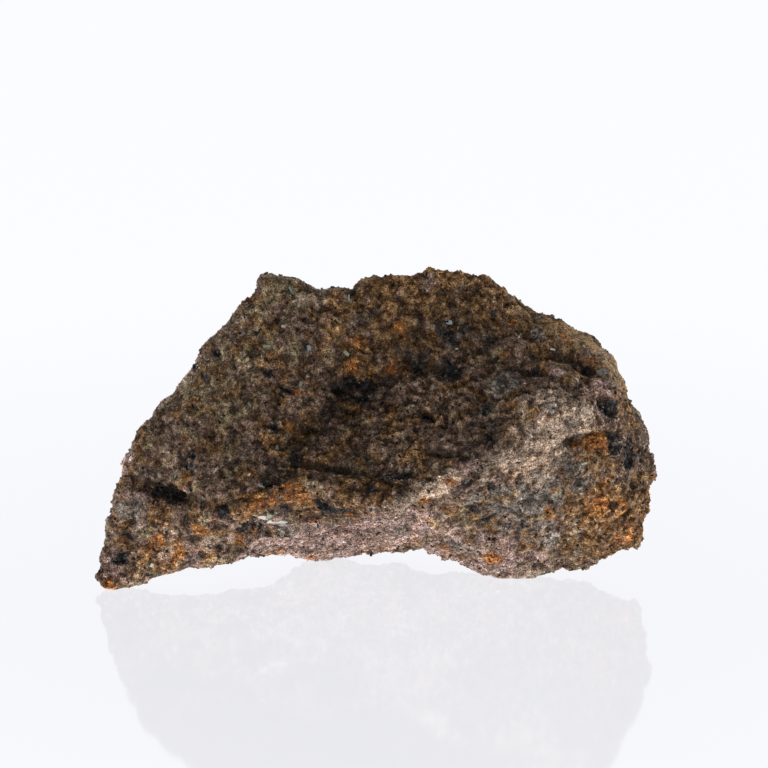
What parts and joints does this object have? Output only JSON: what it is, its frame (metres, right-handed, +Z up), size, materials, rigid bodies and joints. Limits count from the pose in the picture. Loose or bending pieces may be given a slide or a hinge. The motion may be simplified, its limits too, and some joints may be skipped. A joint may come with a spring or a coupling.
{
  "type": "axinite rock specimen",
  "caption": "Broken lump of brown granular axinite rock, pointed at one end and blunt at the other, with a hollow in its front face.",
  "frame": {"origin": "under the middle of the lump's bounding box, on the plane that the lump rests on", "axes": "+X along the lump from its pointed end to its blunt end, +Y from its hollowed front to its back, +Z up"},
  "size_m": [0.0708, 0.0264, 0.0391],
  "materials": {
    "axinite_rock": "rough broken granular surface"
  },
  "bodies": {
    "root": {"axinite_rock": "axinite_rock"}
  },
  "joints": []
}
